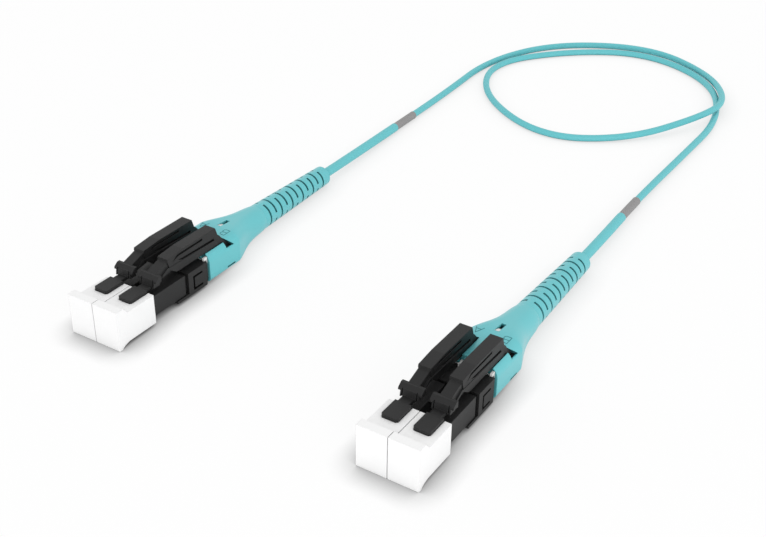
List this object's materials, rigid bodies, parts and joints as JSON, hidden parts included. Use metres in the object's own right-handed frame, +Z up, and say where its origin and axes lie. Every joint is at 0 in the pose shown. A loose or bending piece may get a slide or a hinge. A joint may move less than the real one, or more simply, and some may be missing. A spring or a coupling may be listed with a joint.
{
  "type": "duplex lc fibre patch cord",
  "caption": "Aqua optical patch cord with a capped duplex LC connector at each end, thumb latches, one-piece ribbed boots and a looped round cable.",
  "frame": {"origin": "on the floor below the middle of the bounding box of the two connectors", "axes": "+Z up; the plug noses point towards -Y, so the cable leaves each boot towards +Y; connector a lies at -X and b at +X"},
  "size_m": [0.0802, 0.1983, 0.0114],
  "materials": {
    "black_plastic": "fine moulded black",
    "white_cap": "soft white moulding",
    "zirconia": "polished ceramic",
    "nickel": "nickel plate",
    "spring_steel": "drawn wire",
    "seat_metal": "turned",
    "fibre_buffer": "extruded",
    "aqua_boot": "satin moulding",
    "white_frame": "moulded",
    "brass_ring": "turned",
    "aqua_sleeve": "extruded",
    "grey_band": "shrunk film",
    "aqua_cord": "extruded jacket"
  },
  "bodies": {
    "cord_set": {"a_left_plug_housing": "black_plastic", "a_left_collar": "black_plastic", "a_left_spring_seat": "seat_metal", "a_left_fibre": "fibre_buffer", "a_right_plug_housing": "black_plastic", "a_right_collar": "black_plastic", "a_right_spring_seat": "seat_metal", "a_right_fibre": "fibre_buffer", "a_boot": "aqua_boot", "a_carrier": "white_frame", "a_crimp_ring": "brass_ring", "a_cable_sleeve": "aqua_sleeve", "a_marker_band": "grey_band", "b_left_plug_housing": "black_plastic", "b_left_collar": "black_plastic", "b_left_spring_seat": "seat_metal", "b_left_fibre": "fibre_buffer", "b_right_plug_housing": "black_plastic", "b_right_collar": "black_plastic", "b_right_spring_seat": "seat_metal", "b_right_fibre": "fibre_buffer", "b_boot": "aqua_boot", "b_carrier": "white_frame", "b_crimp_ring": "brass_ring", "b_cable_sleeve": "aqua_sleeve", "b_marker_band": "grey_band", "cord": "aqua_cord"},
    "a_left_latch": {"a_left_latch": "black_plastic"},
    "a_left_cap": {"a_left_dust_cap": "white_cap"},
    "a_left_ferrule": {"a_left_ferrule": "zirconia", "a_left_ferrule_flange": "nickel", "a_left_spring": "spring_steel"},
    "a_right_latch": {"a_right_latch": "black_plastic"},
    "a_right_cap": {"a_right_dust_cap": "white_cap"},
    "a_right_ferrule": {"a_right_ferrule": "zirconia", "a_right_ferrule_flange": "nickel", "a_right_spring": "spring_steel"},
    "b_left_latch": {"b_left_latch": "black_plastic"},
    "b_left_cap": {"b_left_dust_cap": "white_cap"},
    "b_left_ferrule": {"b_left_ferrule": "zirconia", "b_left_ferrule_flange": "nickel", "b_left_spring": "spring_steel"},
    "b_right_latch": {"b_right_latch": "black_plastic"},
    "b_right_cap": {"b_right_dust_cap": "white_cap"},
    "b_right_ferrule": {"b_right_ferrule": "zirconia", "b_right_ferrule_flange": "nickel", "b_right_spring": "spring_steel"}
  },
  "joints": [
    {"name": "a_left_latch_press", "type": "hinge", "parent": "cord_set", "child": "a_left_latch", "pos_m": [-0.03081, -0.03013, 0.00706], "axis": [-1, 0, 0], "range_deg": [0, 2.5], "stiffness_Nm_per_rad": 0.5},
    {"name": "a_left_cap_pull", "type": "slide", "parent": "cord_set", "child": "a_left_cap", "axis": [0, -0.9997, 0.0233], "range_m": [0, 0.012]},
    {"name": "a_left_ferrule_push", "type": "slide", "parent": "cord_set", "child": "a_left_ferrule", "axis": [0, 0.9997, -0.0233], "range_m": [0, 0.0005], "stiffness_N_per_m": 1000},
    {"name": "a_right_latch_press", "type": "hinge", "parent": "cord_set", "child": "a_right_latch", "pos_m": [-0.03706, -0.03013, 0.00706], "axis": [-1, 0, 0], "range_deg": [0, 2.5], "stiffness_Nm_per_rad": 0.5},
    {"name": "a_right_cap_pull", "type": "slide", "parent": "cord_set", "child": "a_right_cap", "axis": [0, -0.9997, 0.0233], "range_m": [0, 0.012]},
    {"name": "a_right_ferrule_push", "type": "slide", "parent": "cord_set", "child": "a_right_ferrule", "axis": [0, 0.9997, -0.0233], "range_m": [0, 0.0005], "stiffness_N_per_m": 1000},
    {"name": "b_left_latch_press", "type": "hinge", "parent": "cord_set", "child": "b_left_latch", "pos_m": [0.03706, -0.03252, 0.00706], "axis": [-1, 0, 0], "range_deg": [0, 2.5], "stiffness_Nm_per_rad": 0.5},
    {"name": "b_left_cap_pull", "type": "slide", "parent": "cord_set", "child": "b_left_cap", "axis": [0, -0.9997, 0.0233], "range_m": [0, 0.012]},
    {"name": "b_left_ferrule_push", "type": "slide", "parent": "cord_set", "child": "b_left_ferrule", "axis": [0, 0.9997, -0.0233], "range_m": [0, 0.0005], "stiffness_N_per_m": 1000},
    {"name": "b_right_latch_press", "type": "hinge", "parent": "cord_set", "child": "b_right_latch", "pos_m": [0.03081, -0.03252, 0.00706], "axis": [-1, 0, 0], "range_deg": [0, 2.5], "stiffness_Nm_per_rad": 0.5},
    {"name": "b_right_cap_pull", "type": "slide", "parent": "cord_set", "child": "b_right_cap", "axis": [0, -0.9997, 0.0233], "range_m": [0, 0.012]},
    {"name": "b_right_ferrule_push", "type": "slide", "parent": "cord_set", "child": "b_right_ferrule", "axis": [0, 0.9997, -0.0233], "range_m": [0, 0.0005], "stiffness_N_per_m": 1000}
  ]
}
